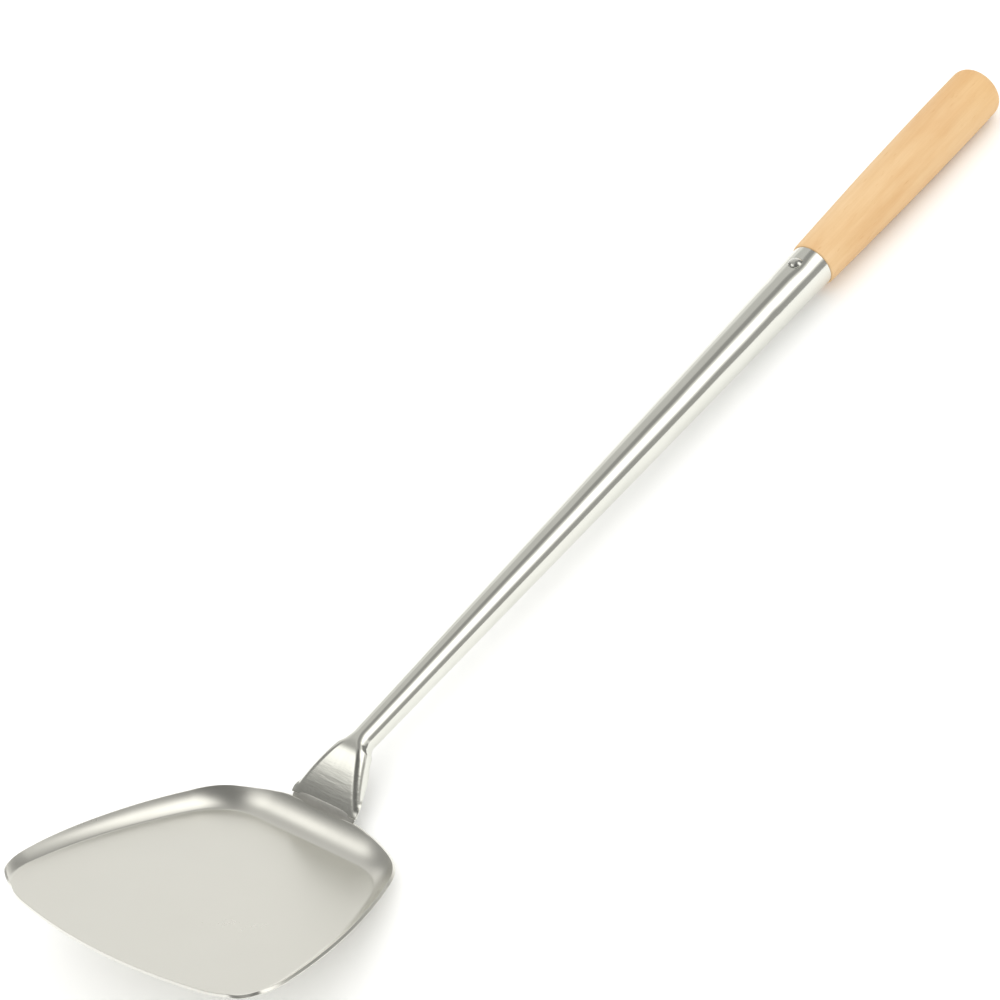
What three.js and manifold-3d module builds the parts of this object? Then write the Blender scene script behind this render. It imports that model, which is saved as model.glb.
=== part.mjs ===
// A wok spatula: a pressed steel blade, a rolled hollow shank, the weld that joins them, a turned wood
// grip in the shank's open end, and the nail that holds it. Millimetres, +Z up, +X towards the grip,
// y = 0 the plane of symmetry. The tool rests on its heel bend and on the end of its grip.
//
// Everything is first built in the blade's frame: the middle of the blade's sheet lies on z = 0, and
// the back wall's bend starts near x = 0. The whole tool is tilted onto its two supports at the end.
import * as THREE from "three";
import { mergeVertices } from "three/addons/utils/BufferGeometryUtils.js";
import Module from "manifold-3d";

const DEGREE = Math.PI / 180;

// Blade: one sheet, pressed to a floor with two side walls and a back wall.
const BLADE_SHEET = 1.2;
const FRONT_WIDTH = 120;
const FLOOR_LENGTH = 98.7;
const FRONT_BOW = 10.4;
const HEEL_WIDTH = 73.8;
const SIDE_BULGE = 6.5;
const FRONT_CORNER_CUT = 16.2;
const HEEL_CORNER_CUT = 13.9;
const WALL_BEND_RADIUS = 2.6;
const WALL_BEND_TURN = 30 * DEGREE;
const SIDE_COVE_RADIUS = 12.3;
const SIDE_WALL_HEIGHT = 6.35;
const SIDE_WALL_FADE = 0.35;
const SIDE_WALL_START = 0.08;
const HEEL_CORNER_HEIGHT = 7;
const BACK_COVE_RADIUS = 18.4;
const BACK_WALL_HEIGHT = 10;
const BACK_CLIMB_WIDTH = 19.7;

// Neck: the shank's sheet opened out to a plate with two turned-down flanges.
const SHANK_SHEET = 1;
const NECK_HALF_WIDTH = 15.7;
const NECK_LENGTH = 31.1;
const NECK_EDGE_RADIUS = 1.8;
const NECK_ROUND_BY = 0.85;
const FOLD_BY = 0.3;
const CLOSE_FROM = 0.4;
const NECK_PLATE_TURN = 0.5;
const NECK_PLATE_SHARE = 0.66;
const ROOT_GAP = 1.6;

// Shank: a long cone, round from the neck to the mouth, with a butt seam underneath.
const SHANK_RISE = 23.4 * DEGREE;
const SHANK_LENGTH = 284.7;
const NECK_TUBE_RADIUS = 4.5;
const MOUTH_TUBE_RADIUS = 8.7;
const SEAM_GAP = 0.4;

// Weld: a bead through the root gap, ground flush inside and left proud behind.
const WELD_CLEARANCE = 0.3;
const WELD_CROWN_WIDTH = 5;
const WELD_CROWN_HEIGHT = 1.3;
const WELD_LENGTH = 30.4;

// Grip: wood, with a shoulder against the mouth and a tenon inside it.
const GRIP_LENGTH = 117.6;
const GRIP_SHOULDER_RADIUS = 9.8;
const GRIP_BELLY_RADIUS = 11.4;
const GRIP_BELLY_AT = 0.8;
const GRIP_NARROWING = 0.35;
const GRIP_END_RADIUS = 5;
const GRIP_DOME = 1.2;
const GRIP_CLEARANCE = 0.3;
const TENON_LENGTH = 34;
const TENON_CLEARANCE = 0.3;

// Nail: driven from above, close to the mouth.
const NAIL_FROM_MOUTH = 9;
const NAIL_HEAD_RADIUS = 2.9;
const NAIL_HEAD_HEIGHT = 1.3;
const NAIL_SHAFT_RADIUS = 1.1;
const NAIL_LENGTH = 13;
const NAIL_CLEARANCE = 0.3;

// Mesh fineness.
const EDGE_STATIONS = { front: 18, side: 16, heel: 18 };
const CORNER_STATIONS = 7;
const FLOOR_RINGS = 4;
const FLOOR_INSET = 4;
const WALL_RINGS = 10;
const SECTION_STEPS = 36;
const NECK_STEPS = 18;
const TUBE_STEPS = 14;
const ROUND_STEPS = 40;

const STEEL = { color: 0xd9d7cd, roughness: 0.32, metalness: 1 };
const POLISHED = { color: 0xd2d3cc, roughness: 0.18, metalness: 1 };
const WOOD = { color: 0xecc58c, roughness: 0.6, metalness: 0 };

const wasm = await Module();
wasm.setup();

const mix = THREE.MathUtils.lerp;
const { smoothstep, clamp } = THREE.MathUtils;

// ---- Sheet metal: a surface of points and triangles, given a thickness ----

function thickSheet(points, triangles, thickness) {
  const middle = new THREE.BufferGeometry();
  middle.setAttribute("position", new THREE.Float32BufferAttribute(points.flatMap((p) => p.toArray()), 3));
  middle.setIndex(triangles.flat());
  middle.computeVertexNormals();
  const normals = middle.getAttribute("normal");
  const face = (side) =>
    points.map((p, i) => {
      const normal = new THREE.Vector3().fromBufferAttribute(normals, i);
      return p.clone().addScaledVector(normal, (side * thickness) / 2);
    });
  const solidPoints = [...face(1), ...face(-1)];
  const under = (i) => i + points.length;
  const solidTriangles = [];
  const openEdges = new Map();
  for (const [a, b, c] of triangles) {
    solidTriangles.push([a, b, c], [under(a), under(c), under(b)]);
    for (const [from, to] of [[a, b], [b, c], [c, a]]) {
      if (!openEdges.delete(`${to},${from}`)) {
        openEdges.set(`${from},${to}`, [from, to]);
      }
    }
  }
  for (const [from, to] of openEdges.values()) {
    solidTriangles.push([from, under(from), to], [to, under(from), under(to)]);
  }
  const solid = new THREE.BufferGeometry();
  const coordinates = solidPoints.flatMap((p) => p.toArray());
  solid.setAttribute("position", new THREE.Float32BufferAttribute(coordinates, 3));
  solid.setIndex(solidTriangles.flat());
  solid.computeVertexNormals();
  return solid;
}

function asManifold(geometry) {
  const bare = geometry.clone();
  bare.deleteAttribute("normal");
  bare.deleteAttribute("uv");
  const merged = mergeVertices(bare, 1e-4);
  return new wasm.Manifold(
    new wasm.Mesh({
      numProp: 3,
      vertProperties: new Float32Array(merged.getAttribute("position").array),
      triVerts: new Uint32Array(merged.index.array),
    }),
  );
}

function cutFrom(geometry, tool) {
  const result = asManifold(geometry).subtract(asManifold(tool)).getMesh();
  const cut = new THREE.BufferGeometry();
  cut.setAttribute("position", new THREE.Float32BufferAttribute(result.vertProperties, 3));
  cut.setIndex([...result.triVerts]);
  cut.computeVertexNormals();
  return cut;
}

// ---- Blade ----

// Where the floor ends and the wall's bend starts, as points round the blade: the front edge, a side,
// the heel and the other side. The heel is straight, the others are shallow curves, and the corners
// between them are rounded.
function bladeOutline() {
  const corners = [
    new THREE.Vector2(-FLOOR_LENGTH, -FRONT_WIDTH / 2),
    new THREE.Vector2(0, -HEEL_WIDTH / 2),
    new THREE.Vector2(0, HEEL_WIDTH / 2),
    new THREE.Vector2(-FLOOR_LENGTH, FRONT_WIDTH / 2),
  ];
  const bulges = [SIDE_BULGE, 0, SIDE_BULGE, FRONT_BOW];
  const cuts = [FRONT_CORNER_CUT, HEEL_CORNER_CUT, HEEL_CORNER_CUT, FRONT_CORNER_CUT];
  const steps = [EDGE_STATIONS.side, EDGE_STATIONS.heel, EDGE_STATIONS.side, EDGE_STATIONS.front];
  const edges = corners.map((start, i) => {
    const end = corners[(i + 1) % corners.length];
    const outward = new THREE.Vector2(end.y - start.y, start.x - end.x).normalize();
    const control = start.clone().add(end).multiplyScalar(0.5).addScaledVector(outward, 2 * bulges[i]);
    return new THREE.QuadraticBezierCurve(start, control, end);
  });
  const outline = [];
  edges.forEach((edge, i) => {
    const next = (i + 1) % edges.length;
    const first = cuts[i] / edge.getLength();
    const last = 1 - cuts[next] / edge.getLength();
    for (let k = 0; k < steps[i]; k += 1) {
      outline.push(edge.getPointAt(mix(first, last, k / steps[i])));
    }
    const leave = edge.getPointAt(last);
    const arrive = edges[next].getPointAt(cuts[next] / edges[next].getLength());
    const corner = new THREE.QuadraticBezierCurve(leave, corners[next], arrive);
    for (let k = 0; k < CORNER_STATIONS; k += 1) {
      outline.push(corner.getPoint(k / CORNER_STATIONS));
    }
  });
  return outline;
}

// The wall's height and cove radius where the outline has this point and outward direction. The side
// walls fade to nothing at the front corners, and the back wall climbs to meet the neck.
function wallAt(point, outward) {
  const along = clamp((point.x + FLOOR_LENGTH) / FLOOR_LENGTH, 0, 1);
  const back = smoothstep(outward.x, 0.2, 0.95);
  const climbEnd = NECK_HALF_WIDTH - 1 + BACK_CLIMB_WIDTH;
  const climb = 1 - smoothstep(Math.abs(point.y), NECK_HALF_WIDTH - 1, climbEnd);
  const side = SIDE_WALL_HEIGHT * along ** SIDE_WALL_FADE * smoothstep(along, 0, SIDE_WALL_START);
  return {
    height: mix(side, mix(HEEL_CORNER_HEIGHT, BACK_WALL_HEIGHT, climb), back),
    cove: mix(SIDE_COVE_RADIUS, BACK_COVE_RADIUS, back),
  };
}

// The wall's section is a tight bend that runs on into a wide cove. This is how far out and up it is
// after a developed length past the start of its bend, and the slope there.
function wallSection(length, cove) {
  const bendLength = WALL_BEND_RADIUS * WALL_BEND_TURN;
  const bent = Math.min(length / WALL_BEND_RADIUS, WALL_BEND_TURN);
  const slope = bent + Math.max(length - bendLength, 0) / cove;
  return {
    out: WALL_BEND_RADIUS * Math.sin(bent) + cove * (Math.sin(slope) - Math.sin(bent)),
    up: WALL_BEND_RADIUS * (1 - Math.cos(bent)) + cove * (Math.cos(bent) - Math.cos(slope)),
    slope,
  };
}

// The developed length of a wall that reaches this height.
function wallLength(height, cove) {
  const bendHeight = WALL_BEND_RADIUS * (1 - Math.cos(WALL_BEND_TURN));
  if (height < bendHeight) {
    return WALL_BEND_RADIUS * Math.acos(1 - height / WALL_BEND_RADIUS);
  }
  const slope = Math.acos(Math.cos(WALL_BEND_TURN) - (height - bendHeight) / cove);
  return WALL_BEND_RADIUS * WALL_BEND_TURN + cove * (slope - WALL_BEND_TURN);
}

function bladeGeometry() {
  const centre = new THREE.Vector2(-FLOOR_LENGTH / 2, 0);
  const outline = bladeOutline();
  const count = outline.length;
  const points = [new THREE.Vector3(centre.x, centre.y, 0)];
  const rings = [];
  const outwards = outline.map((_, i) => {
    const along = outline[(i + 1) % count].clone().sub(outline[(i + count - 1) % count]);
    return new THREE.Vector2(along.y, -along.x).normalize();
  });
  for (let ring = 1; ring <= FLOOR_RINGS; ring += 1) {
    rings.push(points.length);
    outline.forEach((point, i) => {
      const inner = point.clone().addScaledVector(outwards[i], -FLOOR_INSET);
      const place = centre.clone().lerp(inner, ring / FLOOR_RINGS);
      points.push(new THREE.Vector3(place.x, place.y, 0));
    });
  }
  for (let ring = 1; ring <= WALL_RINGS; ring += 1) {
    rings.push(points.length);
    outline.forEach((point, i) => {
      const { height, cove } = wallAt(point, outwards[i]);
      const length = ((FLOOR_INSET + wallLength(height, cove)) * ring) / WALL_RINGS - FLOOR_INSET;
      const { out, up } = length > 0 ? wallSection(length, cove) : { out: length, up: 0 };
      const place = point.clone().addScaledVector(outwards[i], out);
      points.push(new THREE.Vector3(place.x, place.y, up));
    });
  }
  const triangles = [];
  for (let i = 0; i < count; i += 1) {
    const next = (i + 1) % count;
    triangles.push([0, rings[0] + i, rings[0] + next]);
    for (let ring = 1; ring < rings.length; ring += 1) {
      const [inner, outer] = [rings[ring - 1], rings[ring]];
      triangles.push([inner + i, outer + i, outer + next], [inner + i, outer + next, inner + next]);
    }
  }
  return thickSheet(points, triangles, BLADE_SHEET);
}

// ---- Neck and shank: one sheet, swept along a spine that lies in the plane y = 0 ----

const coneSlope = Math.atan((MOUTH_TUBE_RADIUS - NECK_TUBE_RADIUS) / SHANK_LENGTH);

// The middle of the back wall's rim, and the direction in which the wall runs on.
const rim = wallSection(wallLength(BACK_WALL_HEIGHT, BACK_COVE_RADIUS), BACK_COVE_RADIUS);
const rimPoint = new THREE.Vector3(rim.out, 0, rim.up);

const inPlane = (angle) => new THREE.Vector3(Math.cos(angle), 0, Math.sin(angle));
const upFrom = (angle) => new THREE.Vector3(-Math.sin(angle), 0, Math.cos(angle));

// How much of the turn from the wall to the shank is done: slow along the plate, then quick.
function turnDone(share) {
  if (share < NECK_PLATE_SHARE) {
    return (NECK_PLATE_TURN * share) / NECK_PLATE_SHARE;
  }
  return mix(NECK_PLATE_TURN, 1, (share - NECK_PLATE_SHARE) / (1 - NECK_PLATE_SHARE));
}

// The spine: it carries on from the back wall and curves over to the top line of the cone.
function spineFrames() {
  const frames = [];
  const place = rimPoint.clone().addScaledVector(inPlane(rim.slope), ROOT_GAP);
  const angleAt = (share) => mix(rim.slope, SHANK_RISE + coneSlope, turnDone(share));
  for (let i = 0; i <= NECK_STEPS; i += 1) {
    frames.push({ place: place.clone(), angle: angleAt(i / NECK_STEPS) });
    place.addScaledVector(inPlane(angleAt((i + 0.5) / NECK_STEPS)), NECK_LENGTH / NECK_STEPS);
  }
  return frames;
}

const spine = spineFrames();
const neckEnd = spine[NECK_STEPS];
const shankAxis = inPlane(SHANK_RISE);
const shankUp = upFrom(SHANK_RISE);
const shankStart = neckEnd.place.clone().addScaledVector(shankUp, -NECK_TUBE_RADIUS);
const tubeRadius = (distance) => mix(NECK_TUBE_RADIUS, MOUTH_TUBE_RADIUS, distance / SHANK_LENGTH);

// Half of a section: a flat of this width, a round edge that turns through an angle, then a flange.
function sectionPoint(developed, { flat, radius, turn }) {
  const bend = radius * turn;
  if (developed <= flat) {
    return { across: developed, down: 0 };
  }
  const angle = Math.min((developed - flat) / radius, turn);
  const flange = Math.max(developed - flat - bend, 0);
  return {
    across: flat + radius * Math.sin(angle) + flange * Math.cos(angle),
    down: radius * (1 - Math.cos(angle)) + flange * Math.sin(angle),
  };
}

// The neck's section, from the flat plate at the weld (0) to the closed tube (1). Its edges fold down
// into flanges, and the flanges then close round to the seam.
function neckSection(share) {
  const halfSheet = mix(NECK_HALF_WIDTH, Math.PI * NECK_TUBE_RADIUS - SEAM_GAP / 2, share);
  const radius = mix(NECK_EDGE_RADIUS, NECK_TUBE_RADIUS, Math.min(share / NECK_ROUND_BY, 1));
  const fold = smoothstep(share, 0, FOLD_BY);
  const close = smoothstep(share, CLOSE_FROM, 1);
  const turn = (Math.PI / 2) * (fold + close) - (close * SEAM_GAP) / 2 / NECK_TUBE_RADIUS;
  const flat = Math.min((NECK_HALF_WIDTH - NECK_EDGE_RADIUS) * (1 - share), halfSheet - radius * turn);
  return { halfSheet, radius, turn, flat: Math.max(flat, 0) };
}

function tubeSection(distance) {
  const radius = tubeRadius(distance);
  const halfSheet = Math.PI * radius - SEAM_GAP / 2;
  return { halfSheet, radius, turn: halfSheet / radius, flat: 0 };
}

function shankGeometry() {
  const sections = spine.map(({ place, angle }, i) => ({
    place,
    up: upFrom(angle),
    ...neckSection(i / NECK_STEPS),
  }));
  for (let i = 1; i <= TUBE_STEPS; i += 1) {
    const distance = (SHANK_LENGTH * i) / TUBE_STEPS;
    const section = tubeSection(distance);
    const place = shankStart.clone().addScaledVector(shankAxis, distance);
    place.addScaledVector(shankUp, section.radius);
    sections.push({ place, up: shankUp, ...section });
  }
  const points = sections.flatMap((section) =>
    Array.from({ length: SECTION_STEPS + 1 }, (_, k) => {
      const side = (2 * k) / SECTION_STEPS - 1;
      const { across, down } = sectionPoint(Math.abs(side) * section.halfSheet, section);
      const point = section.place.clone().addScaledVector(section.up, -down);
      point.y = Math.sign(side) * across;
      return point;
    }),
  );
  const triangles = [];
  const row = SECTION_STEPS + 1;
  for (let i = 0; i < sections.length - 1; i += 1) {
    for (let k = 0; k < SECTION_STEPS; k += 1) {
      const corner = i * row + k;
      triangles.push([corner, corner + row, corner + row + 1], [corner, corner + row + 1, corner + 1]);
    }
  }
  return thickSheet(points, triangles, SHANK_SHEET);
}

// ---- Weld: a T section, its stem through the root gap and its crown behind, run across the blade ----

function weldGeometry() {
  const stemHalf = ROOT_GAP / 2 - WELD_CLEARANCE;
  const face = SHANK_SHEET / 2;
  const crownStart = -BLADE_SHEET / 2 - WELD_CLEARANCE;
  const crownHalf = WELD_CROWN_WIDTH / 2;
  const section = new THREE.Shape();
  section.moveTo(-stemHalf, face);
  section.lineTo(-stemHalf, crownStart);
  section.lineTo(-crownHalf, crownStart);
  section.quadraticCurveTo(0, crownStart - 2 * WELD_CROWN_HEIGHT, crownHalf, crownStart);
  section.lineTo(stemHalf, crownStart);
  section.lineTo(stemHalf, face);
  section.closePath();
  const bead = new THREE.ExtrudeGeometry(section, {
    depth: WELD_LENGTH,
    bevelEnabled: false,
    curveSegments: 8,
  });
  return bead.translate(0, 0, -WELD_LENGTH / 2);
}

// ---- Turned pieces: profiles of radius against height, lathed about the local Y axis ----

function turned(profile) {
  return new THREE.LatheGeometry(profile, ROUND_STEPS);
}

function arcPoints(centre, radius, from, to, steps) {
  return Array.from({ length: steps + 1 }, (_, i) => {
    const angle = mix(from, to, i / steps);
    return new THREE.Vector2(centre.x + radius * Math.cos(angle), centre.y + radius * Math.sin(angle));
  });
}

// The exposed grip swells from the shoulder to its belly and closes with a rounded end.
function gripRadius(share) {
  const swell = Math.sin((Math.min(share / GRIP_BELLY_AT, 1) * Math.PI) / 2);
  const narrowing = GRIP_NARROWING * Math.max(share - GRIP_BELLY_AT, 0) ** 2;
  return mix(GRIP_SHOULDER_RADIUS, GRIP_BELLY_RADIUS, swell) - narrowing * GRIP_BELLY_RADIUS;
}

const gripEndStart = GRIP_LENGTH - GRIP_END_RADIUS;
const gripEndOffset = gripRadius(gripEndStart / GRIP_LENGTH) - GRIP_END_RADIUS;
const gripEndCentre = new THREE.Vector2(gripEndOffset, gripEndStart);

function gripGeometry() {
  const innerRadius = (depth) => tubeRadius(SHANK_LENGTH - depth) - SHANK_SHEET / 2;
  const tenonTip = innerRadius(TENON_LENGTH) - TENON_CLEARANCE;
  const tenonChamfer = 1.5;
  const swellSteps = 14;
  const profile = [
    new THREE.Vector2(0, -TENON_LENGTH),
    new THREE.Vector2(tenonTip - tenonChamfer, -TENON_LENGTH),
    new THREE.Vector2(tenonTip, tenonChamfer - TENON_LENGTH),
    new THREE.Vector2(innerRadius(0) - TENON_CLEARANCE, GRIP_CLEARANCE),
  ];
  for (let i = 0; i < swellSteps; i += 1) {
    const height = mix(GRIP_CLEARANCE, gripEndStart, i / swellSteps);
    profile.push(new THREE.Vector2(gripRadius(height / GRIP_LENGTH), height));
  }
  profile.push(...arcPoints(gripEndCentre, GRIP_END_RADIUS, 0, 80 * DEGREE, 7));
  profile.push(new THREE.Vector2(0, GRIP_LENGTH + GRIP_DOME));
  return turned(profile);
}

function nailGeometry() {
  const domeSteps = 6;
  const domeRadius = (NAIL_HEAD_RADIUS ** 2 + NAIL_HEAD_HEIGHT ** 2) / (2 * NAIL_HEAD_HEIGHT);
  const domeCentre = new THREE.Vector2(0, NAIL_HEAD_HEIGHT - domeRadius);
  const rimAngle = Math.acos(NAIL_HEAD_RADIUS / domeRadius);
  const pointLength = 3;
  const dome = arcPoints(domeCentre, domeRadius, rimAngle, Math.PI / 2, domeSteps);
  dome[domeSteps].x = 0;
  return turned([
    new THREE.Vector2(0, -NAIL_LENGTH),
    new THREE.Vector2(NAIL_SHAFT_RADIUS, pointLength - NAIL_LENGTH),
    new THREE.Vector2(NAIL_SHAFT_RADIUS, 0),
    ...dome,
  ]);
}

function nailHole(place) {
  const hole = new THREE.CylinderGeometry(
    NAIL_SHAFT_RADIUS + NAIL_CLEARANCE,
    NAIL_SHAFT_RADIUS + NAIL_CLEARANCE,
    2 * (NAIL_LENGTH + NAIL_CLEARANCE),
    ROUND_STEPS / 2,
  );
  return hole.applyMatrix4(place);
}

// ---- Assembly ----

function namedMesh(name, geometry, look) {
  const mesh = new THREE.Mesh(geometry, new THREE.MeshStandardMaterial(look));
  mesh.name = name;
  return mesh;
}

// A turned piece's frame: its local Y along this direction, at this place.
function standing(place, direction) {
  const turn = new THREE.Quaternion().setFromUnitVectors(new THREE.Vector3(0, 1, 0), direction);
  return new THREE.Matrix4().compose(place, turn, new THREE.Vector3(1, 1, 1));
}

const mouth = shankStart.clone().addScaledVector(shankAxis, SHANK_LENGTH);
const nailStation = SHANK_LENGTH - NAIL_FROM_MOUTH;
const nailSeat = shankStart.clone().addScaledVector(shankAxis, nailStation);
nailSeat.addScaledVector(shankUp, tubeRadius(nailStation) + SHANK_SHEET / 2 + NAIL_CLEARANCE);

const gripFrame = standing(mouth, shankAxis);
const nailFrame = standing(nailSeat, shankUp);
const nailInGrip = gripFrame.clone().invert().multiply(nailFrame);

const blade = namedMesh("blade", bladeGeometry(), STEEL);
const shank = namedMesh("shank", cutFrom(shankGeometry(), nailHole(nailFrame)), POLISHED);
const weld = namedMesh("neck_weld", weldGeometry(), STEEL);
const grip = namedMesh("grip", cutFrom(gripGeometry(), nailHole(nailInGrip)), WOOD);
const nail = namedMesh("nail", nailGeometry(), POLISHED);

// The weld's section is drawn with x along the wall and y out of its inner face, and its length is z.
const weldMiddle = rimPoint.clone().addScaledVector(inPlane(rim.slope), ROOT_GAP / 2);
const weldFrame = new THREE.Matrix4().makeBasis(
  inPlane(rim.slope),
  upFrom(rim.slope),
  new THREE.Vector3(0, -1, 0),
);
weld.applyMatrix4(weldFrame.setPosition(weldMiddle));
grip.applyMatrix4(gripFrame);
nail.applyMatrix4(nailFrame);

// The rest plane is tangent to the underside of the heel bend and to the rounded end of the grip.
const heelCircle = new THREE.Vector2(0, WALL_BEND_RADIUS);
const heelRadius = WALL_BEND_RADIUS + BLADE_SHEET / 2;
const gripCircle = mouth.clone().addScaledVector(shankAxis, gripEndCentre.y);
gripCircle.addScaledVector(shankUp, -gripEndCentre.x);
const span = new THREE.Vector2(gripCircle.x - heelCircle.x, gripCircle.z - heelCircle.y);
const restTilt = span.angle() + Math.asin((heelRadius - GRIP_END_RADIUS) / span.length());

const tool = new THREE.Group();
tool.add(blade, shank, weld, grip, nail);
tool.rotation.y = restTilt;
const box = new THREE.Box3().setFromObject(tool, true);
tool.position.set(-(box.min.x + box.max.x) / 2, 0, -box.min.z);

const spatula = new THREE.Group();
spatula.add(tool);

export default spatula;
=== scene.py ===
"""The looks of a wok spatula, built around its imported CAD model.

Metres, +Z up, +X towards the grip, y = 0 the plane of symmetry. The steel pieces are built in the
blade's frame, where the middle of the blade's sheet lies on z = 0 and the back wall's bend starts at
x = 0. The turned pieces are built in their own frames, with z along the turning axis. tool_matrix()
puts them all where the CAD is.
"""

import math

import bpy
import numpy as np
from mathutils import Matrix, Vector, noise


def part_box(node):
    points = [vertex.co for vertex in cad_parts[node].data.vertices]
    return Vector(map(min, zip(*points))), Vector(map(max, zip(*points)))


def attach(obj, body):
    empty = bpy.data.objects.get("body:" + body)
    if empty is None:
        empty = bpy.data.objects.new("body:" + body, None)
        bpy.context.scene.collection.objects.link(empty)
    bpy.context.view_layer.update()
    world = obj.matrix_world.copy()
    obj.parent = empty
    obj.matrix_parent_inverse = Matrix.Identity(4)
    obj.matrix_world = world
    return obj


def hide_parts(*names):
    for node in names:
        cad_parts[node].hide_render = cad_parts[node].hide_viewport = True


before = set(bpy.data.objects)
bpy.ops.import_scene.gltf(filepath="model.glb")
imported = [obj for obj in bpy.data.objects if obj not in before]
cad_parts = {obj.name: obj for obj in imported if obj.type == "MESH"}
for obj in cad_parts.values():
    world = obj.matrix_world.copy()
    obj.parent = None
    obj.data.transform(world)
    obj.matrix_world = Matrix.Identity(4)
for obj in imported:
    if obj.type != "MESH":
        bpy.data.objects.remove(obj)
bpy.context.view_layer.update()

MM = 0.001
DEGREE = math.pi / 180

# ---- Driving dimensions, the same as the CAD model's ----

BLADE_SHEET = 1.2 * MM
FRONT_WIDTH = 120 * MM
FLOOR_LENGTH = 98.7 * MM
FRONT_BOW = 10.4 * MM
HEEL_WIDTH = 73.8 * MM
SIDE_BULGE = 6.5 * MM
FRONT_CORNER_CUT = 16.2 * MM
HEEL_CORNER_CUT = 13.9 * MM
WALL_BEND_RADIUS = 2.6 * MM
WALL_BEND_TURN = 30 * DEGREE
SIDE_COVE_RADIUS = 12.3 * MM
SIDE_WALL_HEIGHT = 6.35 * MM
SIDE_WALL_FADE = 0.35
SIDE_WALL_START = 0.08
HEEL_CORNER_HEIGHT = 7 * MM
BACK_COVE_RADIUS = 18.4 * MM
BACK_WALL_HEIGHT = 10 * MM
BACK_CLIMB_WIDTH = 19.7 * MM
BLADE_EDGE_RADIUS = 0.42 * MM

SHANK_SHEET = 1 * MM
NECK_HALF_WIDTH = 15.7 * MM
NECK_LENGTH = 31.1 * MM
NECK_EDGE_RADIUS = 1.8 * MM
NECK_ROUND_BY = 0.85
FOLD_BY = 0.3
CLOSE_FROM = 0.4
NECK_PLATE_TURN = 0.5
NECK_PLATE_SHARE = 0.66
ROOT_GAP = 1.6 * MM
SHANK_RISE = 23.4 * DEGREE
SHANK_LENGTH = 284.7 * MM
NECK_TUBE_RADIUS = 4.5 * MM
MOUTH_TUBE_RADIUS = 8.7 * MM
SEAM_GAP = 0.4 * MM
SHANK_EDGE_RADIUS = 0.3 * MM

WELD_WIDTH = 5 * MM
WELD_CROWN = 1.3 * MM
WELD_LENGTH = 30.4 * MM

GRIP_LENGTH = 117.6 * MM
GRIP_SHOULDER_RADIUS = 9.8 * MM
GRIP_BELLY_RADIUS = 11.4 * MM
GRIP_BELLY_AT = 0.8
GRIP_NARROWING = 0.35
GRIP_END_RADIUS = 5 * MM
GRIP_END_TURN = 78 * DEGREE
GRIP_DOME = 1.2 * MM
GRIP_SHOULDER_ROUND = 0.7 * MM
TENON_LENGTH = 34 * MM
TENON_CLEARANCE = 0.3 * MM
TENON_BEVEL = 1.5 * MM

NAIL_FROM_MOUTH = 9 * MM
NAIL_HEAD_RADIUS = 2.9 * MM
NAIL_HEAD_HEIGHT = 1.3 * MM
NAIL_SHAFT_RADIUS = 1.1 * MM
NAIL_LENGTH = 13 * MM
NAIL_POINT_LENGTH = 3 * MM
NAIL_SUNK = 0.15 * MM

# ---- Camera, in the blade's frame ----

CAMERA_AIM = Vector((103.5, 0, 104.9)) * MM
CAMERA_DISTANCE = 1.9206
CAMERA_AZIMUTH = 38.88 * DEGREE
CAMERA_ELEVATION = 25.95 * DEGREE
CAMERA_ROLL = -3.07 * DEGREE
CAMERA_LENS = 185.2
SENSOR_WIDTH = 36
CLIP_START = 0.05
CLIP_END = 50

# ---- Shared helpers ----


def in_plane(angle):
    return Vector((math.cos(angle), 0, math.sin(angle)))


def up_from(angle):
    return Vector((-math.sin(angle), 0, math.cos(angle)))


def mix(a, b, share):
    return a + (b - a) * share


def smoothstep(value, low, high):
    share = np.clip((value - low) / (high - low), 0, 1)
    return share * share * (3 - 2 * share)


def curve(start, control, end, count):
    """A quadratic Bezier curve as count points."""
    t = np.linspace(0, 1, count)[:, None]
    return (1 - t) ** 2 * start + 2 * t * (1 - t) * control + t * t * end


def distances(points):
    """How far along a row of points each one is."""
    steps = np.linalg.norm(np.diff(points, axis=0), axis=1)
    return np.concatenate([[0], np.cumsum(steps)])


def places(points, at):
    """The places at these distances along a row of points."""
    along = distances(points)
    return np.stack([np.interp(at, along, points[:, i]) for i in range(points.shape[1])], axis=1)


def wobble(point, size, seed):
    """Smooth noise from about -1 to 1, with features of about this size in metres."""
    return noise.noise(Vector(point) / size + Vector((seed, 2.3 * seed, 5.1 * seed)))


def waves(point, layers):
    """The sum of layers of smooth noise, each with its depth, feature size and seed."""
    return sum(depth * wobble(point, size, seed) for depth, size, seed in layers)


def grid_object(name, grid, closed, pole=None, developed=None):
    """A smooth quad surface over grid[row, column], closed round its columns or open, fanned to a pole.

    developed[row, column] is each point's place on the flattened sheet, kept as the UV map."""
    rows, columns = grid.shape[:2]
    points = grid.reshape(-1, 3).tolist()
    faces = []
    for row in range(rows - 1):
        for column in range(columns if closed else columns - 1):
            after = (column + 1) % columns
            near, far = row * columns, (row + 1) * columns
            faces.append((near + column, far + column, far + after, near + after))
    if pole is not None:
        points.append(list(pole))
        faces += [(rows * columns, c, (c + 1) % columns) for c in range(columns)]
    mesh = bpy.data.meshes.new(name)
    mesh.from_pydata(points, [], faces)
    if developed is not None:
        flat = developed.reshape(-1, 2)
        layer = mesh.uv_layers.new(name="developed")
        for loop in mesh.loops:
            layer.data[loop.index].uv = flat[loop.vertex_index]
    mesh.shade_smooth()
    piece = bpy.data.objects.new(name, mesh)
    bpy.context.scene.collection.objects.link(piece)
    return piece


SHARP_ANGLE = 50 * DEGREE
EDGE_SEGMENTS = 3


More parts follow.
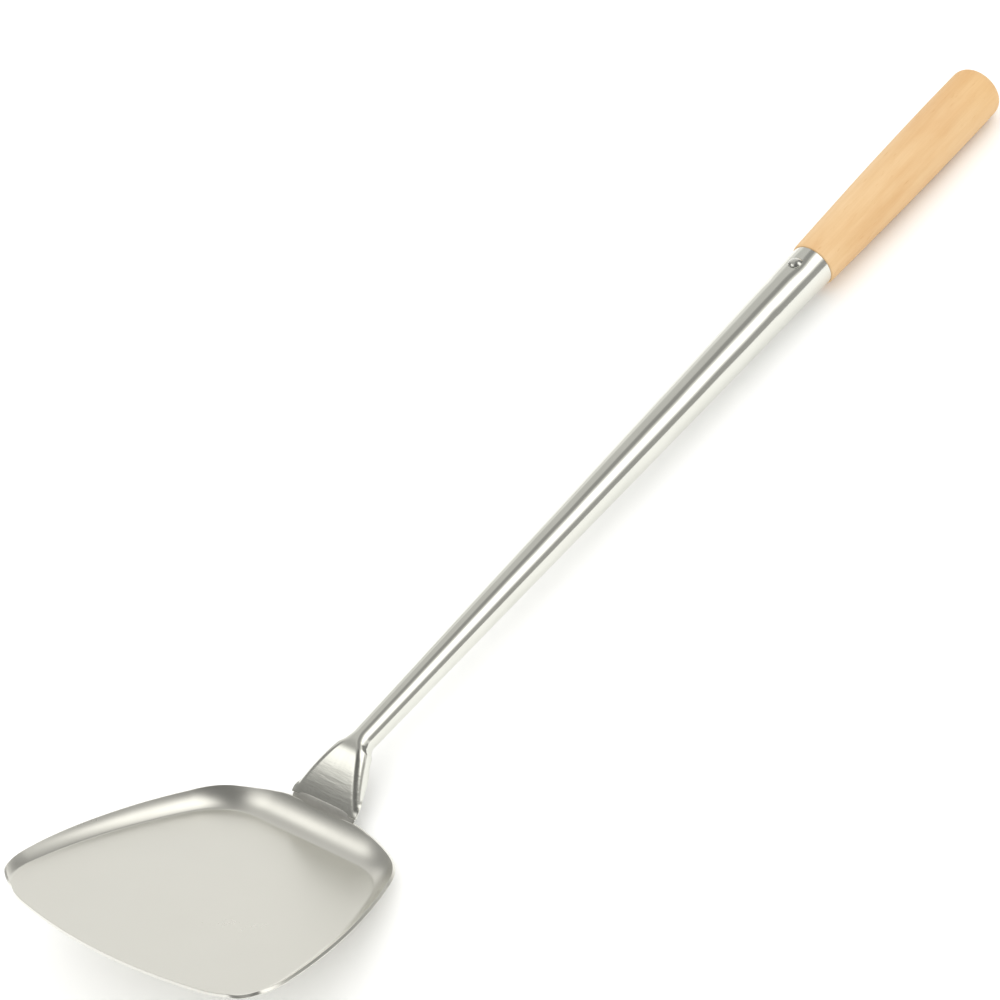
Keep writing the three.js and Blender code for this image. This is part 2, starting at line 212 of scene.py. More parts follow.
def thicken(piece, thickness, edge_radius):
    """Gives a middle surface its sheet thickness, with rounded edges and even shading."""
    solid = piece.modifiers.new("sheet", "SOLIDIFY")
    solid.thickness = thickness
    solid.offset = 0
    solid.use_even_offset = True
    edges = piece.modifiers.new("dressed edges", "BEVEL")
    edges.limit_method = "ANGLE"
    edges.angle_limit = SHARP_ANGLE
    edges.width = edge_radius
    edges.segments = EDGE_SEGMENTS
    shading = piece.modifiers.new("shading", "WEIGHTED_NORMAL")
    shading.keep_sharp = False


# ---- Blade ----

EDGE_STATIONS = {"side": 90, "heel": 70, "front": 110}
EDGE_SAMPLES = 200
CORNER_STATIONS = 26
FLOOR_RINGS = 20
WALL_RINGS = 36
FLOOR_INSET = 4 * MM

# The side walls turn into the back wall between these x parts of the outward direction.
BACK_TURN_FROM = 0.2
BACK_TURN_TO = 0.95
BACK_PEAK_HALF_WIDTH = NECK_HALF_WIDTH - 1 * MM

# What pressing left: depth, size and seed of each layer of waves.
BLADE_WAVES = ((0.10 * MM, 38 * MM, 1), (0.03 * MM, 13 * MM, 2))


def blade_outline():
    """Where the floor ends and the walls' bend starts, as points round the blade.

    The heel is straight, the other edges are shallow curves, and the corners are rounded."""
    half_front, half_heel = FRONT_WIDTH / 2, HEEL_WIDTH / 2
    corners = np.array(
        [(-FLOOR_LENGTH, -half_front), (0, -half_heel), (0, half_heel), (-FLOOR_LENGTH, half_front)]
    )
    sides = ("side", "heel", "side", "front")
    bulge = {"side": SIDE_BULGE, "heel": 0, "front": FRONT_BOW}
    cuts = (FRONT_CORNER_CUT, HEEL_CORNER_CUT, HEEL_CORNER_CUT, FRONT_CORNER_CUT)
    edges = []
    for i, side in enumerate(sides):
        start, end = corners[i], corners[(i + 1) % 4]
        outward = np.array((end[1] - start[1], start[0] - end[0]))
        outward /= np.linalg.norm(outward)
        edges.append(curve(start, (start + end) / 2 + 2 * bulge[side] * outward, end, EDGE_SAMPLES))
    outline = []
    for i, side in enumerate(sides):
        following = (i + 1) % 4
        leave = distances(edges[i])[-1] - cuts[following]
        count = EDGE_STATIONS[side]
        outline.append(places(edges[i], np.linspace(cuts[i], leave, count, endpoint=False)))
        turn_from = places(edges[i], [leave])
        turn_to = places(edges[following], [cuts[following]])
        outline.append(curve(turn_from, corners[following], turn_to, CORNER_STATIONS + 1)[:-1])
    return np.concatenate(outline)


def outward_from(outline):
    """The outward direction at each point of a closed outline."""
    along = np.roll(outline, -1, axis=0) - np.roll(outline, 1, axis=0)
    outward = np.stack([along[:, 1], -along[:, 0]], axis=1)
    return outward / np.linalg.norm(outward, axis=1)[:, None]


def walls_at(outline, outward):
    """The walls' height and cove radius at each point of the outline."""
    along = np.clip((outline[:, 0] + FLOOR_LENGTH) / FLOOR_LENGTH, 0, 1)
    back = smoothstep(outward[:, 0], BACK_TURN_FROM, BACK_TURN_TO)
    climb_end = BACK_PEAK_HALF_WIDTH + BACK_CLIMB_WIDTH
    climb = 1 - smoothstep(np.abs(outline[:, 1]), BACK_PEAK_HALF_WIDTH, climb_end)
    side = SIDE_WALL_HEIGHT * along**SIDE_WALL_FADE * smoothstep(along, 0, SIDE_WALL_START)
    height = mix(side, mix(HEEL_CORNER_HEIGHT, BACK_WALL_HEIGHT, climb), back)
    return height, mix(SIDE_COVE_RADIUS, BACK_COVE_RADIUS, back)


def wall_section(length, cove):
    """How far out and up a wall is, and its slope, at a developed length past the start of its bend."""
    bent = np.minimum(length / WALL_BEND_RADIUS, WALL_BEND_TURN)
    slope = bent + np.maximum(length - WALL_BEND_RADIUS * WALL_BEND_TURN, 0) / cove
    out = WALL_BEND_RADIUS * np.sin(bent) + cove * (np.sin(slope) - np.sin(bent))
    up = WALL_BEND_RADIUS * (1 - np.cos(bent)) + cove * (np.cos(bent) - np.cos(slope))
    return out, up, slope


def wall_length(height, cove):
    """The developed length of a wall that reaches this height."""
    bend_height = WALL_BEND_RADIUS * (1 - math.cos(WALL_BEND_TURN))
    in_bend = np.arccos(np.clip(1 - height / WALL_BEND_RADIUS, -1, 1))
    slope = np.arccos(math.cos(WALL_BEND_TURN) - np.maximum(height - bend_height, 0) / cove)
    past_bend = WALL_BEND_RADIUS * WALL_BEND_TURN + cove * (slope - WALL_BEND_TURN)
    return np.where(height < bend_height, WALL_BEND_RADIUS * in_bend, past_bend)


def make_blade():
    outline = blade_outline()
    outward = outward_from(outline)
    centre = np.array((-FLOOR_LENGTH / 2, 0))
    inner = outline - outward * FLOOR_INSET
    flat = np.zeros(len(outline))
    rings = []
    for share in np.linspace(0, 1, FLOOR_RINGS + 1)[1:]:
        rings.append(np.column_stack([mix(centre, inner, share), flat]))
    height, cove = walls_at(outline, outward)
    whole = wall_length(height, cove)
    for share in np.linspace(0, 1, WALL_RINGS + 1)[1:]:
        length = (FLOOR_INSET + whole) * share - FLOOR_INSET
        out, up, _ = wall_section(np.maximum(length, 0), cove)
        out = np.where(length > 0, out, length)
        rings.append(np.column_stack([outline + outward * out[:, None], up]))
    grid = np.array(rings)
    for point in grid.reshape(-1, 3):
        point[2] += waves(point, BLADE_WAVES)
    blade = grid_object("blade_sheet", grid, closed=True, pole=(*centre, 0))
    thicken(blade, BLADE_SHEET, BLADE_EDGE_RADIUS)
    return blade


# ---- Neck and shank ----

BACK_WALL_LENGTH = wall_length(BACK_WALL_HEIGHT, BACK_COVE_RADIUS)
RIM_OUT, RIM_UP, WALL_TURN = wall_section(BACK_WALL_LENGTH, BACK_COVE_RADIUS)
RIM = Vector((RIM_OUT, 0, RIM_UP))
CONE_SLOPE = math.atan((MOUTH_TUBE_RADIUS - NECK_TUBE_RADIUS) / SHANK_LENGTH)
NECK_ROWS = 90
TUBE_ROWS = 150
SECTION_COLUMNS = 97


def turn_done(share):
    """How much of the turn from the wall to the shank is done: slow along the plate, then quick."""
    return np.interp(share, (0, NECK_PLATE_SHARE, 1), (0, NECK_PLATE_TURN, 1))


def neck_spine():
    """The neck's middle line, as places and slopes, from the weld to the top line of the cone."""
    slopes = mix(WALL_TURN, SHANK_RISE + CONE_SLOPE, turn_done(np.linspace(0, 1, 2 * NECK_ROWS + 1)))
    place = RIM + in_plane(WALL_TURN) * ROOT_GAP
    spine = [(place.copy(), slopes[0])]
    for row in range(NECK_ROWS):
        place += in_plane(slopes[2 * row + 1]) * NECK_LENGTH / NECK_ROWS
        spine.append((place.copy(), slopes[2 * row + 2]))
    return spine


SHANK_AXIS = in_plane(SHANK_RISE)
SHANK_UP = up_from(SHANK_RISE)
SHANK_START = neck_spine()[-1][0] - SHANK_UP * NECK_TUBE_RADIUS
MOUTH = SHANK_START + SHANK_AXIS * SHANK_LENGTH


def tube_radius(distance):
    return mix(NECK_TUBE_RADIUS, MOUTH_TUBE_RADIUS, distance / SHANK_LENGTH)


def neck_section(share):
    """Half width of the sheet, edge radius, turn and flat, from the plate (0) to the closed tube (1)."""
    half_sheet = mix(NECK_HALF_WIDTH, math.pi * NECK_TUBE_RADIUS - SEAM_GAP / 2, share)
    radius = mix(NECK_EDGE_RADIUS, NECK_TUBE_RADIUS, min(share / NECK_ROUND_BY, 1))
    fold = smoothstep(share, 0, FOLD_BY)
    close = smoothstep(share, CLOSE_FROM, 1)
    turn = math.pi / 2 * (fold + close) - close * SEAM_GAP / 2 / NECK_TUBE_RADIUS
    flat = min((NECK_HALF_WIDTH - NECK_EDGE_RADIUS) * (1 - share), half_sheet - radius * turn)
    return half_sheet, radius, turn, max(flat, 0)


def tube_section(distance):
    radius = tube_radius(distance)
    half_sheet = math.pi * radius - SEAM_GAP / 2
    return half_sheet, radius, half_sheet / radius, 0


def section_points(place, up, section):
    """One row of the sheet's middle surface: a flat, a round edge each side, then the flanges."""
    half_sheet, radius, turn, flat = section
    developed = np.linspace(-1, 1, SECTION_COLUMNS) * half_sheet
    past = np.maximum(np.abs(developed) - flat, 0)
    angle = np.minimum(past / radius, turn)
    flange = past - radius * angle
    across = np.minimum(np.abs(developed), flat) + radius * np.sin(angle) + flange * np.cos(angle)
    down = radius * (1 - np.cos(angle)) + flange * np.sin(angle)
    points = np.array(place) - down[:, None] * np.array(up)
    points[:, 1] = np.sign(developed) * across
    return points, developed


def make_shank():
    sections = []
    for row, (place, slope) in enumerate(neck_spine()):
        along = NECK_LENGTH * row / NECK_ROWS
        sections.append((place, up_from(slope), neck_section(row / NECK_ROWS), along))
    for distance in np.linspace(0, SHANK_LENGTH, TUBE_ROWS + 1)[1:]:
        section = tube_section(distance)
        place = SHANK_START + SHANK_AXIS * distance + SHANK_UP * section[1]
        sections.append((place, SHANK_UP, section, NECK_LENGTH + distance))
    grid, developed = [], []
    for place, up, section, along in sections:
        points, across = section_points(place, up, section)
        grid.append(points)
        developed.append(np.column_stack([across, np.full(len(across), along)]))
    grid, developed = np.array(grid), np.array(developed)
    normals = surface_normals(grid)
    for row, column in np.ndindex(grid.shape[:2]):
        grid[row, column] += normals[row, column] * hand_rolled(developed[row, column])
    shank = grid_object("rolled_shank", grid, closed=False, developed=developed)
    thicken(shank, SHANK_SHEET, SHANK_EDGE_RADIUS)
    return shank


def surface_normals(grid):
    """Outward unit normals of an open grid of points."""
    normals = np.cross(np.gradient(grid, axis=0), np.gradient(grid, axis=1))
    return normals / np.linalg.norm(normals, axis=2)[:, :, None]


# Small dents near the mouth: across the sheet, back from the mouth, radius and depth.
DENTS = (
    (0 * MM, 9 * MM, 4.2 * MM, 0.35 * MM),
    (5 * MM, 21 * MM, 2.2 * MM, 0.12 * MM),
    (-9 * MM, 33 * MM, 2.6 * MM, 0.12 * MM),
)


# What rolling left: waves drawn out along the shank, which start past the neck.
SHANK_WAVES = ((0.07 * MM, 36 * MM, 3), (0.022 * MM, 12 * MM, 4))
WAVES_DRAWN_OUT = 2.2
WAVES_FROM = NECK_LENGTH / 2
WAVES_FULL_BY = NECK_LENGTH * 1.5


def hand_rolled(developed):
    """How far rolling and hammering left the sheet off its cone, at a place on the flattened sheet."""
    across, along = developed
    swell = waves((across * WAVES_DRAWN_OUT, along, 0), SHANK_WAVES)
    offset = swell * smoothstep(along, WAVES_FROM, WAVES_FULL_BY)
    from_mouth = NECK_LENGTH + SHANK_LENGTH - along
    for dent_across, dent_back, radius, depth in DENTS:
        apart = math.hypot(across - dent_across, from_mouth - dent_back)
        offset -= depth * math.exp(-((apart / radius) ** 2))
    return offset


# ---- Weld between the back wall and the neck ----

WELD_ROWS = 120
WELD_COLUMNS = 40
WELD_FACE_CROWN = 0.04 * MM
WELD_FACE_POWER = 0.3
WELD_TAPER_POWER = 5
WELD_LEAST_SIZE = 0.001
WELD_ENDS_FROM = 0.95
WELD_LUMPS = ((0.18 * MM, 2.4 * MM, 6),)


def make_weld():
    """A bead across the blade, dressed flush inside and left round and lumpy behind and at its ends."""
    middle = RIM + in_plane(WALL_TURN) * ROOT_GAP / 2
    along_wall, inward = in_plane(WALL_TURN), up_from(WALL_TURN)
    rows = []
    for share in np.linspace(-1, 1, WELD_ROWS):
        size = math.sqrt(max(1 - abs(share) ** WELD_TAPER_POWER, WELD_LEAST_SIZE))
        row = []
        for angle in np.linspace(0, 2 * math.pi, WELD_COLUMNS, endpoint=False):
            across, depth = math.cos(angle), math.sin(angle)
            behind = depth < 0
            if not behind:
                depth = depth**WELD_FACE_POWER
            reach = BLADE_SHEET / 2 + (WELD_CROWN if behind else WELD_FACE_CROWN)
            point = middle + along_wall * across * WELD_WIDTH / 2 * size + inward * depth * reach * size
            point.y = share * WELD_LENGTH / 2
            if behind or abs(share) > WELD_ENDS_FROM:
                point += (along_wall * across + inward * depth) * waves(point, WELD_LUMPS)
            row.append(point)
        rows.append(row)
    return grid_object("weld_bead", np.array(rows), closed=True)


# ---- Turned pieces ----

TURN_COLUMNS = 128

# The smallest ring of a turned surface, which all but closes it on its axis.
AXIS_RADIUS = 0.01 * MM

TENON_STEP = 0.05 * MM
SHOULDER_GAP = 0.1 * MM
GRIP_ROWS = 60
GRIP_BODY_FROM = 2 * MM
GRIP_WAVES = ((0.008, 30 * MM, 8),)

NAIL_ROWS = 18
NAIL_TOP_ANGLE = 89.8 * DEGREE
NAIL_FLATTENED = 0.18 * MM
NAIL_BLOW_SIZE = 2 * MM


def turned_object(name, profile):
    """A surface turned about z from (radius, height) pairs, which start and end at the axis."""
    angles = np.linspace(0, 2 * math.pi, TURN_COLUMNS, endpoint=False)
    ring = np.column_stack([np.cos(angles), np.sin(angles)])
    rows = [np.column_stack([ring * radius, np.full(TURN_COLUMNS, height)]) for radius, height in profile]
    return grid_object(name, np.array(rows), closed=True)


def arc(centre, radius, start, end, count):
    """Points of an arc in the profile's plane."""
    angles = np.linspace(start, end, count)
    return [(centre[0] + radius * math.cos(a), centre[1] + radius * math.sin(a)) for a in angles]


def grip_radius(height):
    """The handle's radius, which swells to a belly and narrows a little past it."""
    share = height / GRIP_LENGTH
    swell = math.sin(min(share / GRIP_BELLY_AT, 1) * math.pi / 2)
    narrowing = GRIP_NARROWING * max(share - GRIP_BELLY_AT, 0) ** 2
    return mix(GRIP_SHOULDER_RADIUS, GRIP_BELLY_RADIUS, swell) - narrowing * GRIP_BELLY_RADIUS


def make_grip():
    """The handle with its tenon, z = 0 at the shank's mouth."""
    inner = MOUTH_TUBE_RADIUS - SHANK_SHEET / 2 - TENON_CLEARANCE
    tip = tube_radius(SHANK_LENGTH - TENON_LENGTH) - SHANK_SHEET / 2 - TENON_CLEARANCE
    profile = [
        (AXIS_RADIUS, -TENON_LENGTH),
        (tip - TENON_BEVEL, -TENON_LENGTH),
        (tip, TENON_BEVEL - TENON_LENGTH),
        (inner, TENON_STEP),
    ]
    shoulder = (GRIP_SHOULDER_RADIUS - GRIP_SHOULDER_ROUND, GRIP_SHOULDER_ROUND + SHOULDER_GAP)
    profile += arc(shoulder, GRIP_SHOULDER_ROUND, -math.pi / 2, 0, 6)
    end_start = GRIP_LENGTH - GRIP_END_RADIUS
    for height in np.linspace(GRIP_BODY_FROM, end_start, GRIP_ROWS, endpoint=False):
        profile.append((grip_radius(height), height))
    end_centre = (grip_radius(end_start) - GRIP_END_RADIUS, end_start)
    profile += arc(end_centre, GRIP_END_RADIUS, 0, GRIP_END_TURN, 16)
    edge_radius, edge_height = profile[-1]
    top = GRIP_LENGTH + GRIP_DOME
    for share in np.linspace(0, 1, 9)[1:-1]:
        profile.append((edge_radius * (1 - share), mix(edge_height, top, 1 - (1 - share) ** 2)))
    profile.append((AXIS_RADIUS, top))
    grip = turned_object("wood_grip", profile)
    for vertex in grip.data.vertices:
        out = Vector((vertex.co.x, vertex.co.y, 0))
        vertex.co += out * waves(vertex.co, GRIP_WAVES)
    return grip


def make_nail():
    """The nail, its head a dome that hammering left flatter and uneven."""
    dome_radius = (NAIL_HEAD_RADIUS**2 + NAIL_HEAD_HEIGHT**2) / (2 * NAIL_HEAD_HEIGHT)
    rim_angle = math.acos(NAIL_HEAD_RADIUS / dome_radius)
    profile = [
        (AXIS_RADIUS, -NAIL_LENGTH),
        (NAIL_SHAFT_RADIUS, NAIL_POINT_LENGTH - NAIL_LENGTH),
        (NAIL_SHAFT_RADIUS, 0),
    ]
    dome_centre = (0, NAIL_HEAD_HEIGHT - dome_radius)
    profile += arc(dome_centre, dome_radius, rim_angle, NAIL_TOP_ANGLE, NAIL_ROWS)
    nail = turned_object("nail_head", profile)
    for vertex in nail.data.vertices:
        if vertex.co.z > 0:
            height = vertex.co.z / NAIL_HEAD_HEIGHT
            vertex.co.z -= NAIL_FLATTENED * (1 + wobble(vertex.co, NAIL_BLOW_SIZE, 9)) * height
    return nail


# ---- Materials ----
#
# The scale of a noise is its number of features per metre, along each axis where it has three.


class Shader:
    """A node material with short ways to add nodes. An input's value is a number, colour or socket."""

    def __init__(self, name, placed=Matrix.Identity(4)):
        """placed takes the piece's own frame, which the patterns follow, to the row frame."""
        self.material = bpy.data.materials.new(name)
        self.material.use_nodes = True
        self.tree = self.material.node_tree
        self.surface = self.tree.nodes["Principled BSDF"]
        found = self.add("ShaderNodeTexCoord").outputs
        back = placed.inverted()
        inputs = {"Location": back.to_translation(), "Rotation": back.to_euler()}
        inputs["Vector"] = found["Object"]
        self.place = self.add("ShaderNodeMapping", inputs).outputs[0]
        self.sheet = found["UV"]

    def fill(self, node, inputs):
        for key, value in inputs.items():
            if isinstance(value, bpy.types.NodeSocket):
                self.tree.links.new(value, node.inputs[key])
            else:
                node.inputs[key].default_value = value

    def add(self, kind, inputs=None, **settings):
        node = self.tree.nodes.new(kind)
        for key, value in settings.items():
            setattr(node, key, value)
        self.fill(node, inputs or {})
        return node

    def scaled(self, vector, scale):
        return self.add("ShaderNodeMapping", {"Vector": vector, "Scale": scale}).outputs[0]

    def noise(self, vector, scale, detail=3, roughness=0.5):
        inputs = {"Vector": vector, "Scale": scale, "Detail": detail, "Roughness": roughness}
        return self.add("ShaderNodeTexNoise", inputs).outputs["Fac"]

    def ramp(self, value, stops):
        """Maps a value through (position, colour) stops."""
        node = self.add("ShaderNodeValToRGB", {"Fac": value})
        elements = node.color_ramp.elements
        while len(elements) < len(stops):
            elements.new(0.5)
        for element, (position, colour) in zip(elements, stops):
            element.position = position
            element.color = (*colour, 1)
        return node.outputs["Color"]

    def range(self, value, low, high, to_low, to_high):
        inputs = {"Value": value, "From Min": low, "From Max": high, "To Min": to_low, "To Max": to_high}
        return self.add("ShaderNodeMapRange", inputs).outputs["Result"]

    def math(self, operation, a, b):
        return self.add("ShaderNodeMath", {0: a, 1: b}, operation=operation).outputs[0]

    def bump(self, height, distance, strength=1.0, normal=None):
        inputs = {"Height": height, "Distance": distance, "Strength": strength}
        if normal is not None:
            inputs["Normal"] = normal
        return self.add("ShaderNodeBump", inputs).outputs["Normal"]


def blade_steel(placed):
    """Satin stainless sheet: faint mottling, fine rolling streaks and soft scuffs."""
    s = Shader("satin_steel", placed)
    patches = s.noise(s.place, 22, detail=2)
    streaks = s.noise(s.scaled(s.place, (70, 1100, 500)), 1.0, detail=2)
    scuffs = s.noise(s.scaled(s.place, (160, 420, 300)), 1.0, detail=4, roughness=0.65)
    colour = s.ramp(patches, [(0.0, (0.759, 0.750, 0.694)), (1.0, (0.789, 0.783, 0.734))])
    rough = s.math("ADD", s.range(patches, 0.0, 1.0, 0.22, 0.35), s.range(scuffs, 0.2, 0.8, 0.0, 0.03))
    s.fill(s.surface, {
        "Base Color": colour,
        "Metallic": 1.0,
        "Roughness": rough,
        "Normal": s.bump(streaks, 0.004 * MM, 0.1),
    })
    return s.material


def shank_steel(placed):
    """Polished stainless with faint lengthwise draw lines, and cross-wise grinding on the neck."""
    s = Shader("polished_steel", placed)
    along = s.add("ShaderNodeSeparateXYZ", {"Vector": s.sheet}).outputs["Y"]
    neck = s.range(along, NECK_LENGTH * 0.35, NECK_LENGTH * 0.7, 1.0, 0.0)
    lines = s.noise(s.scaled(s.sheet, (900, 12, 1)), 1.0, detail=3)
    ground = s.noise(s.scaled(s.sheet, (55, 430, 1)), 1.0, detail=5, roughness=0.6)
    patches = s.noise(s.scaled(s.sheet, (120, 40, 1)), 1.0, detail=3)
    colour = s.ramp(patches, [(0.3, (0.70, 0.70, 0.65)), (0.7, (0.74, 0.74, 0.69))])
    rough = s.math("ADD", s.range(lines, 0.3, 0.7, 0.11, 0.15), s.math("MULTIPLY", neck, 0.12))
    polish = s.bump(lines, 0.004 * MM, 0.2)
    marks = s.bump(s.math("MULTIPLY", ground, neck), 0.14 * MM, 0.8, polish)
    s.fill(s.surface, {"Base Color": colour, "Metallic": 1.0, "Roughness": rough, "Normal": marks})
    return s.material


def weld_steel(placed):
    """Ground weld metal, coarser and a little darker than the sheets beside it."""
    s = Shader("ground_weld", placed)
    grind = s.noise(s.scaled(s.place, (900, 60, 900)), 1.0, detail=4)
    heat = s.noise(s.place, 160, detail=3)
    colour = s.ramp(heat, [(0.35, (0.66, 0.65, 0.61)), (0.65, (0.73, 0.72, 0.68))])
    s.fill(s.surface, {
        "Base Color": colour,
        "Metallic": 1.0,
        "Roughness": s.range(grind, 0.3, 0.7, 0.28, 0.45),
        "Normal": s.bump(grind, 0.05 * MM, 0.7),
    })
    return s.material


def nail_steel(placed):
    """Bright steel with small hammer dents."""
    s = Shader("nail_steel", placed)
    dents = s.noise(s.place, 600, detail=2)
    s.fill(s.surface, {
        "Base Color": (0.66, 0.66, 0.62, 1),
        "Metallic": 1.0,
        "Roughness": s.range(dents, 0.3, 0.7, 0.10, 0.2),
        "Normal": s.bump(dents, 0.05 * MM, 0.5),
    })
    return s.material


def grip_wood(placed):
    """Bare pale hardwood: clouds and bands along the grain, fine fibres and a few faint flecks."""
    s = Shader("bare_wood", placed)
    clouds = s.noise(s.scaled(s.place, (60, 60, 16)), 1.0, detail=4, roughness=0.6)
    bands = s.noise(s.scaled(s.place, (260, 260, 8)), 1.0, detail=3, roughness=0.6)
    fibres = s.noise(s.scaled(s.place, (1500, 1500, 40)), 1.0, detail=3)
    flecks = s.noise(s.scaled(s.place, (1100, 1100, 180)), 1.0, detail=1)
    height = s.add("ShaderNodeSeparateXYZ", {"Vector": s.place}).outputs["Z"]
    end = s.range(height, GRIP_LENGTH * 0.75, GRIP_LENGTH, 0.0, 1.0)
    wood_colours = [(0.32, (0.63, 0.395, 0.19)), (0.5, (0.67, 0.452, 0.238)), (0.68, (0.70, 0.49, 0.275))]
    colour = s.ramp(clouds, wood_colours)
    handled = s.ramp(end, [(0.0, (1.0, 1.0, 1.0)), (1.0, (0.98, 0.93, 0.82))])
    banded = s.ramp(bands, [(0.3, (0.96, 0.935, 0.89)), (0.6, (1.0, 1.0, 1.0))])
    fine = s.ramp(fibres, [(0.3, (0.965, 0.95, 0.93)), (0.7, (1.0, 1.0, 1.0))])
    fleck = s.ramp(flecks, [(0.22, (0.93, 0.88, 0.81)), (0.32, (1.0, 1.0, 1.0))])
    for layer in (handled, banded, fine, fleck):
        mixed = s.add("ShaderNodeMix", {"Factor": 1.0}, data_type="RGBA", blend_type="MULTIPLY")
        s.fill(mixed, {6: colour, 7: layer})
        colour = mixed.outputs[2]
    s.fill(s.surface, {
        "Base Color": colour,
        "Roughness": s.range(fibres, 0.3, 0.7, 0.5, 0.62),
        "Specular IOR Level": 0.35,
        "Normal": s.bump(fibres, 0.05 * MM, 0.35),
    })
    return s.material


# ---- Placing the tool ----


def tool_matrix():
    """From the blade's frame to the row frame: tilted onto the heel bend and the grip's rounded end."""
    heel = Vector((0, 0, WALL_BEND_RADIUS))
    heel_radius = WALL_BEND_RADIUS + BLADE_SHEET / 2
    end_start = GRIP_LENGTH - GRIP_END_RADIUS
    end = MOUTH + SHANK_AXIS * end_start - SHANK_UP * (grip_radius(end_start) - GRIP_END_RADIUS)
    span = end - heel
    tilt = math.atan2(span.z, span.x) + math.asin((heel_radius - GRIP_END_RADIUS) / span.length)
    turn = Matrix.Rotation(tilt, 4, "Y")
    tip = turn @ (MOUTH + SHANK_AXIS * (GRIP_LENGTH + GRIP_DOME))
    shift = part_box("grip")[1].x - tip.x
    lift = GRIP_END_RADIUS - (turn @ end).z
    return Matrix.Translation((shift, 0, lift)) @ turn


def standing(place, direction):
    """A turned piece's frame in the blade's frame: z along this direction, at this place."""
    return Matrix.Translation(place) @ direction.to_track_quat("Z", "Y").to_matrix().to_4x4()


def nail_seat():
    """Where the nail's head meets the shank, on its top line."""
    station = SHANK_LENGTH - NAIL_FROM_MOUTH
    surface = tube_radius(station) + SHANK_SHEET / 2
    return SHANK_START + SHANK_AXIS * station + SHANK_UP * (surface - NAIL_SUNK)


def place_pieces(tool):
    """Makes each piece with its material, puts it in place under the root body and hides its CAD node."""
    pieces = (
        (make_blade(), "blade", "blade_steel", blade_steel, Matrix.Identity(4)),
        (make_shank(), "shank", "shank_steel", shank_steel, Matrix.Identity(4)),
        (make_weld(), "neck_weld", "weld_steel", weld_steel, Matrix.Identity(4)),
        (make_grip(), "grip", "grip_wood", grip_wood, standing(MOUTH, SHANK_AXIS)),
        (make_nail(), "nail", "nail_steel", nail_steel, standing(nail_seat(), SHANK_UP)),
    )
    for piece, node, slot, finish, local in pieces:
        placed = tool @ local
        piece.data.materials.append(finish(placed))
        piece.data.transform(placed)
        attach(piece, "root")
        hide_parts(node)


# ---- Studio ----

FLOOR_SIZE = 6
DOME_COLOUR = (1.35, 1.35, 1.34, 1)
STUDIO_LEVEL = 0.95
STUDIO_COLOUR = (1.0, 0.992, 0.962)
KEY_LIGHT_SIZE = 2.5
KEY_LIGHT_WATTS = 4
KEY_LIGHT_PLACE = (-0.8, -0.6, 2.2)

# Soft boxes and flags that the steel mirrors. Each is a middle and a half width round the shank from
# the camera's side, a middle and a half width along the shank from square across it, and the softness
# of its edge, all in degrees, and its level. A later one lies in front of an earlier one.
STUDIO_PATCHES = (
    (-83, 21, 22, 30, 6, 0.66),
    (-47, 14, 30, 40, 7, 0.36),
    (36, 16, 27, 13, 5, 0.42),
    (-6, 19, 27, 14, 5, 1.7),
    (0, 48, -12, 24, 6, 0.16),
    (-5, 60, 66, 18, 6, 0.26),
    (-76, 19, 1, 7, 5, 0.5),
    (-104, 21, -20, 28, 4, 0.3),
    (-150, 30, 8, 17, 5, 0.3),
    (-70, 14, -15, 9, 5, 1.55),
    (0, 180, -68, 30, 9, 0.24),
)


def add_camera(tool):
    azimuth, elevation = CAMERA_AZIMUTH, CAMERA_ELEVATION
    flat = math.cos(elevation)
    forward = Vector((flat * math.cos(azimuth), flat * math.sin(azimuth), -math.sin(elevation)))
    right = forward.cross(Vector((0, 0, 1))).normalized()
    up = right.cross(forward)
    basis = Matrix((right, up, -forward)).transposed().to_4x4()
    place = Matrix.Translation(CAMERA_AIM - forward * CAMERA_DISTANCE)
    data = bpy.data.cameras.new("camera")
    data.sensor_width = SENSOR_WIDTH
    data.lens = CAMERA_LENS
    data.clip_start = CLIP_START
    data.clip_end = CLIP_END
    camera = bpy.data.objects.new("camera", data)
    camera.matrix_world = tool @ place @ basis @ Matrix.Rotation(-CAMERA_ROLL, 4, "Z")
    bpy.context.scene.collection.objects.link(camera)
    bpy.context.scene.camera = camera
    return camera


def add_floor():
    half = FLOOR_SIZE / 2
    corners = [(-half, -half, 0), (half, -half, 0), (half, half, 0), (-half, half, 0)]
    mesh = bpy.data.meshes.new("studio_floor")
    mesh.from_pydata(corners, [], [(0, 1, 2, 3)])
    s = Shader("studio_paper")
    s.fill(s.surface, {"Base Color": (0.94, 0.94, 0.93, 1), "Roughness": 0.9, "Specular IOR Level": 0.1})
    mesh.materials.append(s.material)
    floor = bpy.data.objects.new("studio_floor", mesh)
    bpy.context.scene.collection.objects.link(floor)


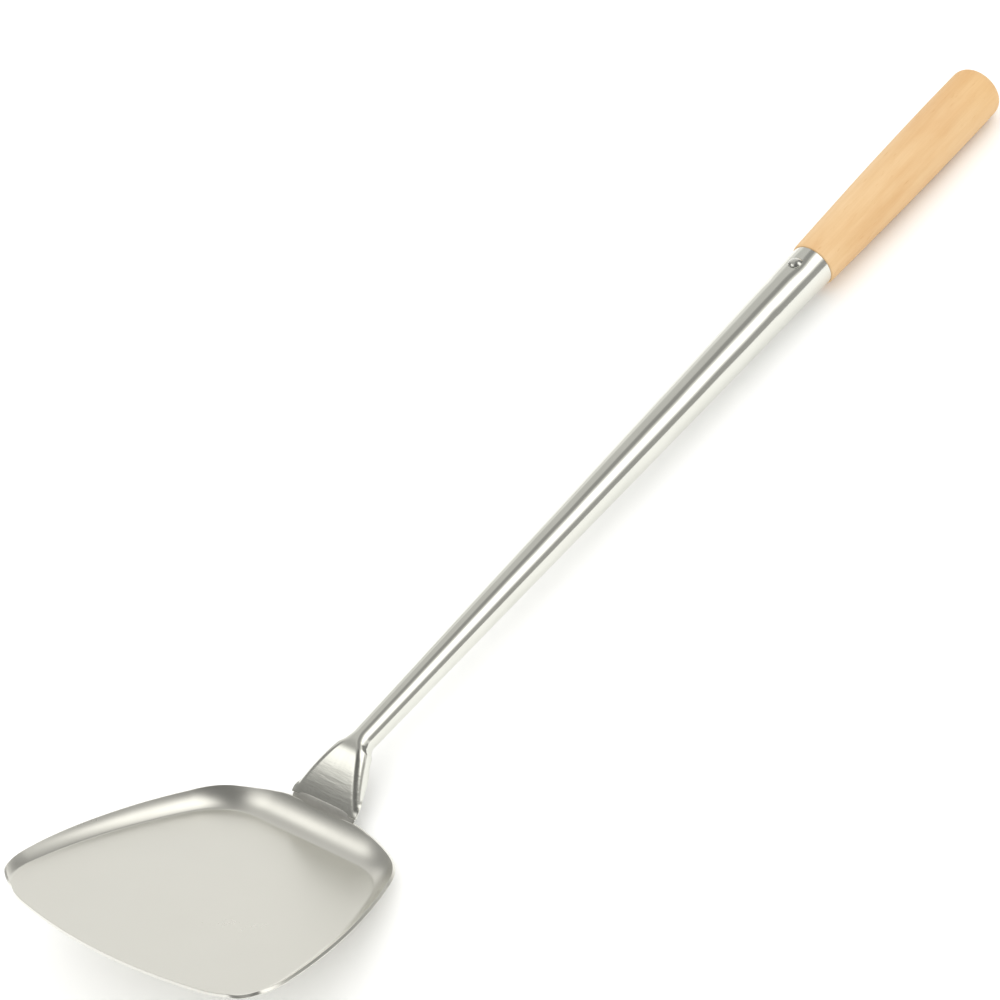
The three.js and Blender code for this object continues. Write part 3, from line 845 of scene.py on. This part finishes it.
def add_world(tool, camera):
    """A pale dome for light, in which the steel mirrors soft boxes and flags round the shank."""
    axis = (tool.to_3x3() @ SHANK_AXIS).normalized()
    towards = camera.matrix_world.translation - tool @ CAMERA_AIM
    towards = (towards - axis * towards.dot(axis)).normalized()
    world = bpy.data.worlds.new("studio")
    bpy.context.scene.world = world
    world.use_nodes = True
    tree = world.node_tree
    direction = tree.nodes.new("ShaderNodeTexCoord").outputs["Generated"]

    def add(kind, inputs, **settings):
        node = tree.nodes.new(kind)
        for key, value in settings.items():
            setattr(node, key, value)
        for key, value in inputs.items():
            if isinstance(value, bpy.types.NodeSocket):
                tree.links.new(value, node.inputs[key])
            else:
                node.inputs[key].default_value = value
        return node.outputs

    def along(vector):
        return add("ShaderNodeVectorMath", {0: direction, 1: vector}, operation="DOT_PRODUCT")["Value"]

    def math_node(operation, a, b=0.0):
        return add("ShaderNodeMath", {0: a, 1: b}, operation=operation)[0]

    def within(angle, middle, half, soft):
        away = math_node("ABSOLUTE", math_node("SUBTRACT", angle, middle * DEGREE))
        inputs = {"Value": away, "From Min": (half + soft) * DEGREE, "From Max": (half - soft) * DEGREE}
        return add("ShaderNodeMapRange", inputs, interpolation_type="SMOOTHSTEP")["Result"]

    round_shank = math_node("ARCTAN2", along(axis.cross(towards)), along(towards))
    along_shank = math_node("ARCSINE", along(axis))
    level = STUDIO_LEVEL
    for turn, half_turn, rise, half_rise, soft, patch_level in STUDIO_PATCHES:
        turned = within(round_shank, turn, half_turn, soft)
        risen = within(along_shank, rise, half_rise, soft)
        mask = math_node("MULTIPLY", turned, risen)
        level = add("ShaderNodeMix", {"Factor": mask, 2: level, 3: patch_level})[0]
    lit = add("ShaderNodeVectorMath", {0: STUDIO_COLOUR, "Scale": level}, operation="SCALE")["Vector"]
    mirrored = add("ShaderNodeLightPath", {})["Is Glossy Ray"]
    colour = add("ShaderNodeMix", {"Factor": mirrored, 6: DOME_COLOUR, 7: lit}, data_type="RGBA")[2]
    tree.links.new(colour, tree.nodes["Background"].inputs["Color"])


def add_key_light():
    """A large soft box overhead. It lights the floor and the wood, and the steel doesn't mirror it."""
    data = bpy.data.lights.new("overhead", "AREA")
    data.shape = "DISK"
    data.size = KEY_LIGHT_SIZE
    data.energy = KEY_LIGHT_WATTS
    light = bpy.data.objects.new("overhead", data)
    light.location = KEY_LIGHT_PLACE
    light.rotation_euler = (-light.location).to_track_quat("-Z", "Y").to_euler()
    light.visible_glossy = False
    bpy.context.scene.collection.objects.link(light)


TOOL = tool_matrix()
place_pieces(TOOL)
camera = add_camera(TOOL)
add_floor()
add_world(TOOL, camera)
add_key_light()
bpy.context.scene.view_settings.view_transform = "Standard"
